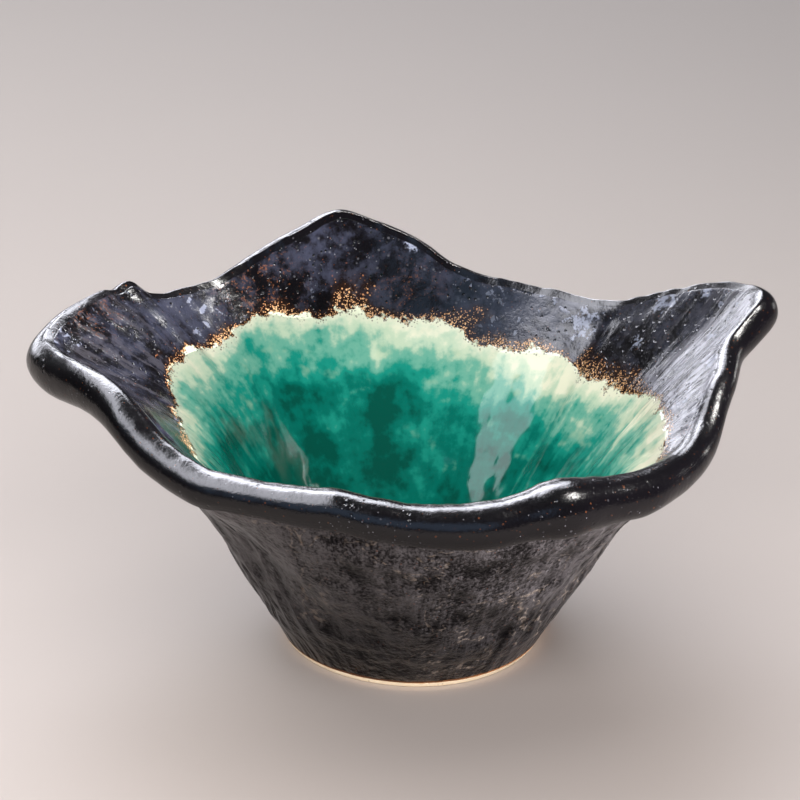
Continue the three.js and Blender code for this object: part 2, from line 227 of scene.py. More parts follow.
# bearing, how far the inner face drops just inside the arris
LEDGE_LINE = [
    (0, 0.15), (30, 0), (135, 0), (165, 0.5), (200, 0.6), (250, 0.6), (285, 0.5), (310, 0.3),
    (335, 0.2),
]
FULLNESS, PRESS, DENT_DEPTH = 0.75, 1.5, 0.55
REACH_LOW, REACH_MORE, WALL_RUN = 30, 24, 60
SWELL_BEARING, SWELL_SPREAD, SWELL_HEIGHT = 301.0, 4.6, 0.8
print(len(PRESSED), "pressed flats on the wall")


# %% Marks on the wall
def pressed(bearing, share):
    total = FULLNESS * np.sqrt(np.sin(np.pi * np.clip(share, 0, 1)))
    for centre, level, wide, tall, tilt, depth in PRESSED:
        turn = math.radians((bearing - centre + 180) % 360 - 180)
        across, up = turn * (REACH_LOW + REACH_MORE * share), WALL_RUN * (share - level)
        c, s = math.cos(math.radians(tilt)), math.sin(math.radians(tilt))
        off = np.hypot((c * across + s * up) / wide, (c * up - s * across) / tall)
        total -= PRESS * depth * (1 - smoothstep(off, 0.55, 1.0)) * smoothstep(share, 0, 0.1)
    return total * (1 - smoothstep(share, 0.9, 1.0))


def dent(bearing, share):
    turn = math.radians(bearing)
    broad = np.cos(5 * turn + 2.4 * share + 0.4)
    close = np.cos(9 * turn - 3.2 * share + 1.1)
    return DENT_DEPTH * np.sin(np.pi * share) * (broad + 0.6 * close)


print("the middle of a flat lies", -pressed(229, 0.5).round(2), "mm further in")


# %% Marks on the inner face and the lip
def fold(bearing, share):
    pleat = around(PLEAT, bearing)[0] * (1 - smoothstep(share, 0.10, 0.30))
    crease = around(CREASE, bearing)[0] * (1 - smoothstep(share, 0.40, 0.80))
    return (pleat + crease) * smoothstep(share, 0, 0.08)


def swell(bearing):
    away = (bearing - SWELL_BEARING + 180) % 360 - 180
    return SWELL_HEIGHT * math.exp(-((away / SWELL_SPREAD) ** 2))


def waver(bearing, start):
    turn = math.radians(bearing)
    slow = math.sin(11 * turn + start) + 0.8 * math.sin(19 * turn + 2 * start)
    return slow + 0.5 * math.sin(31 * turn + 3 * start) * (1 + math.sin(4 * turn + start))


print("swollen in front by", round(swell(SWELL_BEARING), 1), "mm")

# %% [markdown]
# The lip is a roll whose inner upper edge is crisp: the glaze pulled away from
# it in the kiln and left a narrow arris, where the light catches. Along the
# back the clay was pinched thinner, so there the inner face runs straight up
# to the arris. In front it drops a little just inside it, which is the ledge.

# %% The roll of the lip
ANKLE_ROWS, OUTER_ROWS, LIP_ROWS, CREST_ROWS, BAND_ROWS, WELL_ROWS = 3, 62, 28, 8, 28, 58


def ragged(bearing):
    return 1 + 0.12 * waver(3 * bearing, 0.7)


def lip_roll(bearing):
    reach, height, roll = around(LIP, bearing)
    lip = np.array([reach + WAVER_OUT * waver(bearing, 1.3),
                    height + WAVER_UP * waver(bearing, 2.9)])
    crispness, arris_turn = around(ARRIS_LINE, bearing)
    roll += GLAZE_ON_LIP + WAVER_THICK * waver(bearing, 4.1) + swell(bearing)
    roll -= CREST_THINNED * max(0.0, crispness - CREST_FLAT_FROM)
    rim = lip - around(SHOULDER, bearing)
    slope = math.atan2(rim[1], rim[0]) + math.asin(roll / np.hypot(*rim))

    below = min(RIM_WALL, THIN_ROLL_SHARE * 2 * roll) - roll
    start = math.atan2(-below, -math.sqrt(roll ** 2 - below ** 2))
    start = start - 2 * math.pi if start > 0 else start
    turns = np.concatenate([np.linspace(start, arris_turn, LIP_ROWS - CREST_ROWS + 1),
                            np.linspace(arris_turn, math.pi / 2, CREST_ROWS + 1)[1:]])
    away = np.abs(turns - arris_turn)
    crisp = 1 + ARRIS * ragged(bearing) * crispness * np.exp(-away / ARRIS_SPREAD)
    rays = np.stack([np.cos(slope + turns), np.sin(slope + turns)], -1)
    over_lip = lip + (roll * crisp)[:, None] * rays
    crest = over_lip[-1 - CREST_ROWS:]
    chord = crest[0] + (crest[-1] - crest[0]) * np.linspace(0, 1, CREST_ROWS + 1)[:, None]
    flat = (crispness - CREST_FLAT_FROM) / (CREST_FLAT_TO - CREST_FLAT_FROM)
    over_lip[-1 - CREST_ROWS:] += np.clip(flat, 0, CREST_FLATTEST) * (chord - crest)
    return over_lip, slope


print("the lip's roll at the right ear starts at", lip_roll(10)[0][0].round(1))

# %% [markdown]
# The outer face runs from the foot to the roll. Its waist lies one wall's
# thickness outside the shoulder. The lowest rows, the ankle, stay as they were
# thrown, because the coat ends there against the bare foot.

# %% The outer face
FLOOR_EDGE = np.array([FLOOR_REACH, FLOOR_HEIGHT])


def outer_face(bearing, lip_foot, slope):
    shoulder = around(SHOULDER, bearing)
    well = shoulder - FLOOR_EDGE
    lean = (math.atan2(well[1], well[0]) + slope) / 2
    waist = shoulder + WALL * np.array([math.sin(lean), -math.cos(lean)])
    foot = np.array([around(FOOT, bearing)[0], 0.0])
    outside = rounded([foot, waist, lip_foot], [WAIST_BEND])
    edge = share_at_height(outside, BARE_BAND)
    ankle = share_at_height(outside, UNDERSIDE + STRAIGHT_ANKLE)
    shares = np.linspace(0, 1, OUTER_ROWS + 1)
    outer = points_at(outside, ankle + (1 - ankle) * shares)
    outer[:, 0] += dent(bearing, shares) + pressed(bearing, shares)
    low = points_at(outside, np.linspace(edge, ankle, ANKLE_ROWS + 1)[:-1])
    return np.concatenate([low, outer])


front_lip, front_slope = lip_roll(270)
front_wall = outer_face(270, front_lip[0], front_slope)
print("the front wall leans out", round(float(front_wall[-1, 0] - front_wall[0, 0]), 1), "mm")

# %% The inner face and the whole section
def inner_face(bearing, lip_end):
    middle = np.array([0.0, FLOOR_HEIGHT])
    corners = [lip_end, around(SHOULDER, bearing), FLOOR_EDGE, middle]
    inside = rounded(corners, [SHOULDER_BEND, FLOOR_BEND])
    line = np.clip(share_at_height(inside, around(GLAZE_LINE, bearing)[0]), 0.04, 0.6)
    shares = np.concatenate([np.linspace(0, line, BAND_ROWS + 1)[1:],
                             np.linspace(line, 1, WELL_ROWS + 1)[1:]])
    inner = points_at(inside, shares)
    inner[:, 0] += fold(bearing, shares)
    run = shares * run_along(inside)[-1]
    ledge = max(0.0, around(LEDGE_LINE, bearing)[0] * ragged(bearing))
    inner[:, 1] -= ledge * smoothstep(run, 0, 0.7) * (1 - smoothstep(run, 0.7, LEDGE_RUN))
    return inner


def section(bearing):
    over_lip, slope = lip_roll(bearing)
    return np.concatenate([outer_face(bearing, over_lip[0], slope), over_lip[1:],
                           inner_face(bearing, over_lip[-1])])


LIP_ROW = ANKLE_ROWS + OUTER_ROWS
INNER_ROW = LIP_ROW + LIP_ROWS
GLAZE_ROW = INNER_ROW + BAND_ROWS
CENTRE_ROW = GLAZE_ROW + WELL_ROWS
print("rows in a section:", CENTRE_ROW + 1, "=", len(section(0.0)))

# %% [markdown]
# ## The whole surface
#
# Columns are spaced evenly along the lip, not round the foot, so the ears get
# as many of them as their long edge needs. The last lines bring the surface
# just inside the box of the solid model.

# %% Lay the sections round the foot
COLUMNS, STEPS_PER_DEGREE, CLEARANCE = 460, 8, 0.12


def spaced_bearings(count):
    fine = np.linspace(0, 360, 360 * STEPS_PER_DEGREE + 1)
    lip = np.array([around(LIP, bearing) for bearing in fine])
    turn = np.radians(fine)
    line = np.stack([lip[:, 0] * np.cos(turn), lip[:, 0] * np.sin(turn), lip[:, 1]], -1)
    run = run_along(line)
    return np.interp(np.arange(count) / count * run[-1], run, fine)


bearings = spaced_bearings(COLUMNS)
cuts = np.array([section(bearing) for bearing in bearings])
turns = np.radians(bearings)[:, None]
surface = np.stack([cuts[..., 0] * np.cos(turns) + FOOT_CENTRE[0],
                    cuts[..., 0] * np.sin(turns) + FOOT_CENTRE[1],
                    cuts[..., 1]], -1)

solid_low, solid_high = (1000 * np.array(corner) for corner in cad_box)
low, high = surface.min((0, 1)), surface.max((0, 1))
for axis in (0, 1, 2):
    fits = [(solid_high[axis] - CLEARANCE) / high[axis]]
    if axis < 2:
        fits.append((solid_low[axis] + CLEARANCE) / low[axis])
    fit = float(min(1.0, *fits))
    surface[..., axis] *= fit
    print("axis", "XYZ"[axis], "fitted by", round(fit, 4))

# %% [markdown]
# Now the notes that the finishes and the relief read. `flow` runs round the
# bowl and up the section, `line` is the distance from the glaze line, plus on
# the black side. `wall` is 1 on the outer wall, `inside` 1 on the inner face
# above the line and `ear` 1 on the inner face of the two ears, fading out in
# the well, because lines that follow `flow` would meet in a star on the floor.
# `relief` says how far a point may move, `ceiling` which part of the noise
# counts as level, and `outward` which way is out of the clay.

# %% Notes for the finishes and the relief
def unit(vectors):
    return vectors / np.linalg.norm(vectors, axis=-1, keepdims=True)


# bearing, spread, strength
EARS = [(4, 24, 1.0), (178, 20, 0.8)]
FLOW_RADIUS = 55

gaps = np.linalg.norm(np.diff(surface, axis=1), axis=2)
along = np.concatenate([np.zeros((COLUMNS, 1)), np.cumsum(gaps, axis=1)], axis=1)
rows = np.arange(CENTRE_ROW + 1)


def by_row(values):
    return np.broadcast_to(values, along.shape)


def near_bearing(centre, spread):
    away = (bearings - centre + 180) % 360 - 180
    return np.exp(-((away / spread) ** 2))[:, None]


onward = np.gradient(surface, axis=1)
ahead = np.roll(surface, -1, axis=0) - np.roll(surface, 1, axis=0)
outward = np.cross(ahead, onward)
outward[:, CENTRE_ROW] = (0, 0, 1)
outward = unit(outward)

wall_share = by_row(1 - smoothstep(rows, LIP_ROW - 2, LIP_ROW + 6))
lip_share = by_row(smoothstep(rows, LIP_ROW - 3, LIP_ROW + 5)
                   * (1 - smoothstep(rows, INNER_ROW, INNER_ROW + 6)))
inside_share = by_row(smoothstep(rows, INNER_ROW - 9, INNER_ROW + 2))
creep = np.array([around(CREEP, bearing) for bearing in bearings])
near_ear = sum(strength * near_bearing(centre, spread) for centre, spread, strength in EARS)
above_well = by_row(1 - smoothstep(rows, GLAZE_ROW + 10, GLAZE_ROW + 36))
ear_share = inside_share * np.clip(near_ear, 0, 1) * above_well
notes = {
    "flow": np.stack([FLOW_RADIUS * np.cos(turns) * np.ones_like(along),
                      FLOW_RADIUS * np.sin(turns) * np.ones_like(along), along], -1) / 1000,
    "line": (along[:, [GLAZE_ROW]] - along - creep) / 1000,
    "wall": wall_share,
    "inside": inside_share,
    "ear": ear_share,
    "relief": by_row(smoothstep(rows, 0, 7)) * (1 - 0.5 * lip_share - 0.3 * inside_share),
    "ceiling": 0.5 + 0.22 * lip_share + 0.2 * inside_share,
    "outward": outward,
}
print("longest section, mm:", round(float(along.max()), 1))

# %% [markdown]
# ## From points to skins
#
# Each coat of glaze is a closed skin: a fine front, which shows, and a plain
# back against the clay. A skin is a chain of rings, and each ring has one
# point for each column. Rings go from the well outwards, over the lip and
# down, so the faces point outwards. The back doesn't show, so its rings may lie
# far apart. The front's two borders are sharp, so the shading of one coat runs
# on into the next.

# %% Faces between rings
def faces_between(count, columns, poles):
    bands = count - 1 if poles else count
    i, j = np.meshgrid(np.arange(bands), np.arange(columns), indexing="ij")
    here, there, after = i * columns, (i + 1) % count * columns, (j + 1) % columns
    faces = np.stack([here + j, there + j, there + after, here + after], -1)
    faces = faces.reshape(-1, 4).tolist()
    if poles:
        top, last = count * columns, (count - 1) * columns
        for j in range(columns):
            after = (j + 1) % columns
            faces += [[top, j, after], [top + 1, last + after, last + j]]
    return faces


print("one band of the wall has", len(faces_between(2, COLUMNS, None)) // 2, "faces")


# %% Write notes on a mesh, sharpen its borders
def write_notes(mesh, ring_notes, poles):
    for note, values in ring_notes.items():
        values = np.concatenate(values)
        if poles:
            values = np.concatenate([values, values[:1], values[-1:]])
        kind, socket = ("FLOAT_VECTOR", "vector") if values.ndim == 2 else ("FLOAT", "value")
        mesh.attributes.new(note, kind, "POINT").data.foreach_set(socket, values.ravel())


def sharpen(mesh, columns, borders):
    ends = np.zeros(2 * len(mesh.edges), int)
    mesh.edges.foreach_get("vertices", ends)
    ring_of = ends.reshape(-1, 2) // columns
    sharp = np.isin(ring_of[:, 0], borders) & (ring_of[:, 0] == ring_of[:, 1])
    mesh.attributes.new("sharp_edge", "BOOLEAN", "EDGE").data.foreach_set("value", sharp)


# %% Build a closed skin from rings
def skin(name, rings, ring_notes=None, poles=None, borders=()):
    points = np.concatenate([*rings, poles] if poles else rings)
    faces = faces_between(len(rings), len(rings[0]), poles)
    mesh = bpy.data.meshes.new(name)
    mesh.from_pydata((points / 1000).tolist(), [], faces)
    mesh.polygons.foreach_set("use_smooth", [True] * len(faces))
    write_notes(mesh, ring_notes or {}, poles)
    sharpen(mesh, len(rings[0]), borders)
    mesh.update()
    piece = bpy.data.objects.new(name, mesh)
    bpy.context.scene.collection.objects.link(piece)
    print(name, "has", sum(len(face) - 2 for face in faces), "triangles")
    return piece


# %% Black and green coats
COAT = 0.7


def coat_skin(name, front_rows, back_rows, poles=None):
    rings = [surface[:, row] for row in front_rows]
    rings += [surface[:, row] - COAT * outward[:, row] for row in back_rows]
    ring_notes = {note: [values[:, row] for row in front_rows + back_rows]
                  for note, values in notes.items()}
    ring_notes["relief"][len(front_rows):] = [np.zeros(COLUMNS)] * len(back_rows)
    return skin(name, rings, ring_notes, poles, borders=(0, len(front_rows) - 1))


black_glaze = coat_skin(
    "black_glaze",
    list(range(GLAZE_ROW, -1, -1)),
    [0, *range(ANKLE_ROWS, LIP_ROW, 12), *range(LIP_ROW, INNER_ROW, 5),
     *range(INNER_ROW, GLAZE_ROW, 9), GLAZE_ROW],
)
floor_middle = surface[:, CENTRE_ROW].mean(0)
green_glaze = coat_skin(
    "green_glaze",
    list(range(CENTRE_ROW - 1, GLAZE_ROW - 1, -1)),
    [GLAZE_ROW, *range(GLAZE_ROW + 6, CENTRE_ROW - 1, 10), CENTRE_ROW - 1],
    poles=[floor_middle, floor_middle - (0, 0, COAT)],
)

# %% [markdown]
# ## The foot
#
# The foot is wiped clean before firing so that it doesn't stick to the kiln
# shelf. Its outer edge is bare clay up to the coat's lower border. We give its
# section ring by ring: across the hidden top, out to the coat's border, down the
# bare side, round the rubbed edge and under the foot into the recess.

# %% Rings on the foot
def disc(radius, height):
    turn = np.radians(bearings)
    x, y = FOOT_CENTRE[0] + radius * np.cos(turn), FOOT_CENTRE[1] + radius * np.sin(turn)
    return np.stack([x, y, np.full_like(x, height)], -1)


def wall_at(height, inset=0.0):
    lower, upper = surface[:, 0], surface[:, ANKLE_ROWS]
    share = ((height - lower[:, 2]) / (upper[:, 2] - lower[:, 2]))[:, None]
    ring = lower + (upper - lower) * share
    return ring - unit((ring - (*FOOT_CENTRE, 0)) * (1, 1, 0)) * inset


recess = min(reach for _, reach in FOOT) - RING_WIDTH
ring_top = UNDERSIDE - GAP
print("the recess is", round(2 * recess, 1), "mm wide")

# %% Foot ring
foot_ring = skin("foot_clay", [
    disc(recess - RECESS_INSET, ring_top),
    wall_at(ring_top, 1.3), wall_at(BARE_BAND - 0.02, 1.2), wall_at(BARE_BAND - 0.02, 0.10),
    wall_at(BARE_BAND - 0.12, 0.02), wall_at(1.1), wall_at(0.7), wall_at(0.4),
    wall_at(0.18, 0.06), wall_at(0.05, 0.2), wall_at(0.0, 0.45),
    disc(recess + 2.4, 0), disc(recess + 0.6, 0), disc(recess + 0.15, 0.2), disc(recess, 0.7),
])

# %% Glaze in the recess
coat_in = recess - GAP
recess_glaze = skin(
    "recess_glaze",
    [disc(coat_in - 2.4, ring_top), disc(coat_in - RECESS_INSET, ring_top),
     disc(coat_in - 0.25, BARE_BAND), disc(coat_in - 0.5, BARE_BAND - 0.1),
     disc(coat_in - 0.9, BARE_BAND + 0.2), disc(coat_in - 1.3, ring_top - 2.0),
     disc(coat_in - 2.0, ring_top - 1.0), disc(coat_in - 3.4, ring_top - 0.7),
     disc(coat_in - 8, ring_top - 0.7)],
    poles=[np.array([*FOOT_CENTRE, ring_top]), np.array([*FOOT_CENTRE, ring_top - 0.7])],
)

# %% [markdown]
# ## Small helpers for node trees
#
# Node trees read like sums once a node can be placed in one call. An input may
# be a plain number or colour, or the output of another node. `step` is a soft
# threshold, `swing` a noise that swings both ways round nothing, `lerp` blends
# two numbers and `over` lays one colour over another, both by a mask.

# %% Place nodes
def put(tree, kind, inputs=None, **settings):
    made = tree.nodes.new(kind)
    for name, value in settings.items():
        setattr(made, name, value)
    for key, value in (inputs or {}).items():
        join(tree, made.inputs[key], value)
    return made


def join(tree, socket, value):
    if isinstance(value, bpy.types.NodeSocket):
        tree.links.new(value, socket)
    elif socket.type == "RGBA":
        socket.default_value = (*value, 1.0)[:4]
    else:
        socket.default_value = value


def calc(tree, operation, *values):
    return put(tree, "ShaderNodeMath", dict(enumerate(values)), operation=operation).outputs[0]


# %% Sums of many values
def times(tree, *values):
    return reduce(lambda a, b: calc(tree, "MULTIPLY", a, b), values)


def plus(tree, *values):
    return reduce(lambda a, b: calc(tree, "ADD", a, b), values)


def minus(tree, a, b):
    return calc(tree, "SUBTRACT", a, b)


def most(tree, *values):
    return reduce(lambda a, b: calc(tree, "MAXIMUM", a, b), values)


def rest(tree, value):
    return calc(tree, "SUBTRACT", 1.0, value)


# %% Steps, noise and blends
def step(tree, value, low, high):
    inputs = {"Value": value, "From Min": low, "From Max": high}
    return put(tree, "ShaderNodeMapRange", inputs, interpolation_type="SMOOTHSTEP").outputs[0]


def scaled(tree, vector, factors):
    made = put(tree, "ShaderNodeVectorMath", {0: vector, 1: factors}, operation="MULTIPLY")
    return made.outputs[0]


def parts(tree, vector):
    return put(tree, "ShaderNodeSeparateXYZ", {0: vector}).outputs


def noise(tree, vector, scale, detail=3.0, roughness=0.55, twist=0.0):
    inputs = {"Vector": vector, "Scale": scale, "Detail": detail, "Roughness": roughness,
              "Distortion": twist}
    return put(tree, "ShaderNodeTexNoise", inputs).outputs["Fac"]


def centred(tree, value, reach):
    return times(tree, minus(tree, value, 0.5), reach)


def swing(tree, vector, scale, reach, detail=2.0):
    return centred(tree, noise(tree, vector, scale, detail), reach)


def lerp(tree, mask, low, high):
    return put(tree, "ShaderNodeMix", {0: mask, 2: low, 3: high}).outputs[0]


def over(tree, mask, below, above):
    made = put(tree, "ShaderNodeMix", data_type="RGBA")
    for socket, value in zip([s for s in made.inputs if s.enabled], (mask, below, above)):
        join(tree, socket, value)
    return next(s for s in made.outputs if s.enabled)


# %% [markdown]
# ## Relief
#
# Lumps and scrapes are real relief, because they show on the outline and break
# up the reflections. A Geometry Nodes tree moves each point along its
# `outward` note by noise. The scrapes are long hollows with sharp ridges
# between them, cells of a stretched Voronoi pattern on the `flow` note, so
# they run up and down the wall. The pattern has a helper of its own, because
# the black finish colours its ridges and hollows by the same cells. Both coats
# use the same tree, so they still meet at the glaze line.

# %% The pattern of the scrapes
CELLS_PER_METRE = 230.0


def scrape_cells(tree, place, flow):
    wander = put(tree, "ShaderNodeTexNoise", {"Vector": place, "Scale": 70.0}).outputs[1]
    bent = put(tree, "ShaderNodeVectorMath", {0: scaled(tree, flow, (1, 1, 0.2)),
               1: scaled(tree, wander, (0.006, 0.006, 0.006))}, operation="ADD").outputs[0]
    made = put(tree, "ShaderNodeTexVoronoi", {"Vector": bent, "Scale": CELLS_PER_METRE})
    return made.outputs["Distance"]


def toward_ears(tree, flow):
    across = parts(tree, flow)[0]
    return across, step(tree, calc(tree, "ABSOLUTE", across), 0.016, 0.040)


print("scrapes are cells of", round(1000 / CELLS_PER_METRE, 1), "mm, five times as long")


# %% Geometry Nodes tree for the relief
DEPTHS = {"Lump depth": 0.0006, "Scrape depth": 0.0006, "Streak depth": 0.0006}


def relief_tree(name, finish):
    tree = bpy.data.node_groups.new(name, "GeometryNodeTree")
    tree.interface.new_socket("Geometry", in_out="INPUT", socket_type="NodeSocketGeometry")
    for label, depth in DEPTHS.items():
        socket = tree.interface.new_socket(label, in_out="INPUT", socket_type="NodeSocketFloat")
        socket.default_value = depth
    tree.interface.new_socket("Geometry", in_out="OUTPUT", socket_type="NodeSocketGeometry")
    given = put(tree, "NodeGroupInput").outputs

    def note(label, kind="FLOAT"):
        made = put(tree, "GeometryNodeInputNamedAttribute", {"Name": label}, data_type=kind)
        return next(s for s in made.outputs if s.enabled and s.name == "Attribute")

    place = put(tree, "GeometryNodeInputPosition").outputs[0]
    flow, outwards = note("flow", "FLOAT_VECTOR"), note("outward", "FLOAT_VECTOR")
    broad = step(tree, noise(tree, place, 62, 2, 0.5, 0.4), 0.22, 0.78)
    close = step(tree, noise(tree, place, 170, 2, 0.5), 0.22, 0.78)
    lump = minus(tree, lerp(tree, 0.35, broad, close), note("ceiling"))

    side = toward_ears(tree, flow)[1]
    cells = scrape_cells(tree, place, flow)
    hollow = times(tree, minus(tree, cells, 0.6), note("wall"), lerp(tree, side, 0.35, 1.0))
    streak = noise(tree, scaled(tree, flow, (1, 1, 0.22)), 250, 3, 0.6, 0.3)
    groove = times(tree, minus(tree, step(tree, streak, 0.25, 0.75), 1.0), note("ear"))

    total = plus(tree, times(tree, lump, given["Lump depth"]),
                 times(tree, hollow, given["Scrape depth"]),
                 times(tree, groove, given["Streak depth"]))
    reach = {0: outwards, "Scale": times(tree, total, note("relief"))}
    move = put(tree, "ShaderNodeVectorMath", reach, operation="SCALE").outputs[0]
    moved = put(tree, "GeometryNodeSetPosition", {"Geometry": given["Geometry"], "Offset": move})
    real = put(tree, "GeometryNodeRealizeInstances", {0: moved.outputs[0]})
    dressed = put(tree, "GeometryNodeSetMaterial", {0: real.outputs[0], "Material": finish})
    put(tree, "NodeGroupOutput", {"Geometry": dressed.outputs[0]})
    return tree


print(", ".join(f"{label} {1000 * depth:.1f} mm" for label, depth in DEPTHS.items()))

# %% [markdown]
# A tree is worked out once and its result kept as a plain mesh. The inputs are
# set by each socket's identifier, before the piece is first looked at.

# %% Apply a tree to a piece
def work(piece, tree, depths):
    modifier = piece.modifiers.new("relief", "NODES")
    modifier.node_group = tree
    for item in tree.interface.items_tree:
        if item.in_out == "INPUT" and item.name in depths:
            modifier[item.identifier] = depths[item.name]
    bpy.context.view_layer.update()
    result = bpy.data.meshes.new_from_object(
        piece.evaluated_get(bpy.context.evaluated_depsgraph_get()))
    piece.modifiers.remove(modifier)
    piece.data = result
    print(piece.name, "worked:", len(result.vertices), "points")


# %% [markdown]
# ## Effects that several finishes share
#
# Each effect is a node group with named inputs and outputs. The first gives the small round marks
# of the kiln. Gas that leaves the clay makes pinholes, and crystals make pale specks; on the black
# coat the pale specks also serve as painted glints of small bumps. Both are points of a Voronoi
# pattern, kept only where a coarser noise allows, so they come in patches.

# %% A node group with named sockets
KINDS = {"value": "NodeSocketFloat", "vector": "NodeSocketVector", "colour": "NodeSocketColor"}


def shader_group(name, inputs, outputs):
    group = bpy.data.node_groups.new(name, "ShaderNodeTree")
    for label, (kind, default) in inputs.items():
        socket = group.interface.new_socket(label, in_out="INPUT", socket_type=KINDS[kind])
        if default is not None:
            socket.default_value = default
    for label, kind in outputs.items():
        group.interface.new_socket(label, in_out="OUTPUT", socket_type=KINDS[kind])
    return group, put(group, "NodeGroupInput").outputs


def give(group, **values):
    out = put(group, "NodeGroupOutput")
    for label, value in values.items():
        join(group, out.inputs[label], value)
    print(group.name, "has", len(group.nodes), "nodes")


def use(tree, group, inputs):
    made = put(tree, "ShaderNodeGroup", node_tree=group)
    for label, value in inputs.items():
        join(tree, made.inputs[label], value)
    return made.outputs


# %% Group: pits and specks
spots, given = shader_group(
    "pits_and_specks",
    {"Place": ("vector", None), "Size": ("value", 900.0), "Amount": ("value", 0.5)},
    {"Pits": "value", "Specks": "value"},
)
cells = put(spots, "ShaderNodeTexVoronoi", {"Vector": given["Place"], "Scale": given["Size"]})
chance = put(spots, "ShaderNodeSeparateColor", {0: cells.outputs["Color"]}).outputs
limit = minus(spots, 1.15, times(spots, given["Amount"], noise(spots, given["Place"], 70, 2)))
dot = rest(spots, step(spots, cells.outputs["Distance"], 0.10, 0.32))
pits = times(spots, dot, step(spots, minus(spots, chance[0], limit), 0.0, 0.04))
specks = times(spots, dot, step(spots, minus(spots, chance[1], limit), 0.10, 0.14))
give(spots, Pits=pits, Specks=specks)

# %% [markdown]
# Streaks follow the wall up and down, because they are drawn on the `flow`
# note. Wisps are thin wandering lines: the places where a soft noise passes
# its middle value.

# %% Group: streaks and wisps
lines, given = shader_group(
    "streaks_and_wisps",
    {"Place": ("vector", None), "Flow": ("vector", None), "Fineness": ("value", 600.0)},
    {"Streak": "value", "Wisp": "value"},
)
streak = noise(lines, scaled(lines, given["Flow"], (1, 1, 0.1)), given["Fineness"], 4, 0.62, 0.15)
soft = noise(lines, given["Place"], 60, 3, 0.6, 0.9)
thin = rest(lines, step(lines, calc(lines, "ABSOLUTE", minus(lines, soft, 0.5)), 0.002, 0.016))
broken = times(lines, step(lines, noise(lines, given["Place"], 700, 3), 0.42, 0.6),
               step(lines, noise(lines, given["Place"], 35, 1), 0.45, 0.58))
give(lines, Streak=streak, Wisp=times(lines, thin, broken))

# %% [markdown]
# ## The black coat
#
# It is not one black. On the lip it is smooth and almost pure black, on the outer wall it dries to
# a stony charcoal with painted shade in its hollows and low down, and on the inner face it breaks
# to blue-grey, partly a painted sheen, with pinholes, pale blue crystals and painted highlights
# near the edge, and patches of iron brown. One group mixes these by the notes and gives colour,
# roughness and height together, so that what is dull is also what is rough. It starts with the
# noises that all its marks share, from broad clouds to fine grain.

# %% Group: black coat
coat, given = shader_group(
    "black_coat",
    {"Place": ("vector", None), "Flow": ("vector", None), "Wall": ("value", 0.0),
     "Inside": ("value", 0.0), "Ear": ("value", 0.0)},
    {"Colour": "colour", "Roughness": "value", "Metal": "value", "Height": "value"},
)
place, flow, wall, ear = given["Place"], given["Flow"], given["Wall"], given["Ear"]
inside = step(coat, plus(coat, given["Inside"], swing(coat, place, 320, 0.35, 3)), 0.62, 0.74)
spot = use(coat, spots, {"Place": place, "Size": 800.0, "Amount": lerp(coat, inside, 0.55, 1.05)})
dust_and_glints = use(coat, spots, {"Place": place, "Size": 1700.0, "Amount": 0.62})
line = use(coat, lines, {"Place": place, "Flow": flow, "Fineness": 620.0})
cloud = noise(coat, place, 55, 3)
broad = noise(coat, place, 110, 3)
mottle = noise(coat, place, 260, 4, 0.65)
grain = noise(coat, place, 1500, 3, 0.65)
x, y, z = parts(coat, place)
print("shared noises:", len(coat.nodes), "nodes")

# %% [markdown]
# The lip is black all over. On the wall the ridges are painted paler and the hollows darker, as
# painted shade that partly stands for glaze pooled in them, and the wall darkens towards the foot.
# More painted shade lies in the hollows, low down and on the left, and takes the shine off: we let
# it turn the surface into a black metal, which mirrors nothing, where more roughness would only
# make the shine wider.

# %% Black coat: lip and wall
lip_black = over(coat, cloud, (0.0015, 0.0012, 0.0018), (0.0035, 0.0030, 0.0042))
uneven = plus(coat, times(coat, broad, 0.35), times(coat, mottle, 0.35),
              times(coat, line["Streak"], 0.30), centred(coat, grain, 0.60))
across, side = toward_ears(coat, flow)
cells = scrape_cells(coat, place, flow)
scraped = times(coat, side, minus(coat, step(coat, cells, 0.20, 0.80), 0.4), 0.6)
ridged = plus(coat, step(coat, uneven, 0.34, 0.64), scraped)
# Painted shade: the wall's colour darkens towards the foot and pales higher up.
painted_shade_low = over(coat, step(coat, z, 0.002, 0.046), (0.012, 0.0108, 0.012), (0.064, 0.058, 0.062))
# Painted shade: the hollows between the ridges are near black and the ridges paler, partly glaze
# pooled in the hollows.
stone_and_shade = over(coat, wall, lip_black, over(coat, ridged, (0.0030, 0.0025, 0.0035), painted_shade_low))
low = rest(coat, step(coat, z, 0.002, 0.036))
# Painted shade as metal, which mirrors nothing: in the hollows, low down and towards the left.
painted_shade_amount = plus(coat, rest(coat, step(coat, ridged, 0.0, 1.0)), times(coat, low, 0.45),
             times(coat, across, -4.0))
painted_shade_metal = times(coat, wall, most(coat, calc(coat, "MINIMUM", painted_shade_amount, 1.0), 0.0), 0.85)
wisped = over(coat, times(coat, wall, line["Wisp"], 0.7), stone_and_shade, (0.19, 0.155, 0.13))
print("lip and wall:", len(coat.nodes), "nodes so far")

# %% [markdown]
# The inner face breaks to blue-grey in clouds, which is partly a painted bluish sheen. On the ears
# the glaze ran and left streaks, which in the hollow of the right ear are painted pale grey as a
# painted sheen.

# %% Black coat: inner face and ears
clouded = step(coat, plus(coat, times(coat, mottle, 0.6), times(coat, cloud, 0.4)), 0.42, 0.62)
# Partly painted sheen: the bluish grey of these clouds stands in for sky mirrored by the inner
# face.
blued = over(coat, times(coat, inside, clouded), wisped, (0.027, 0.030, 0.049))
hollow = times(coat, step(coat, x, 0.040, 0.055), rest(coat, step(coat, y, 0.010, 0.023)))
streaks = plus(coat, line["Streak"], centred(coat, mottle, 0.5), times(coat, hollow, 0.06))
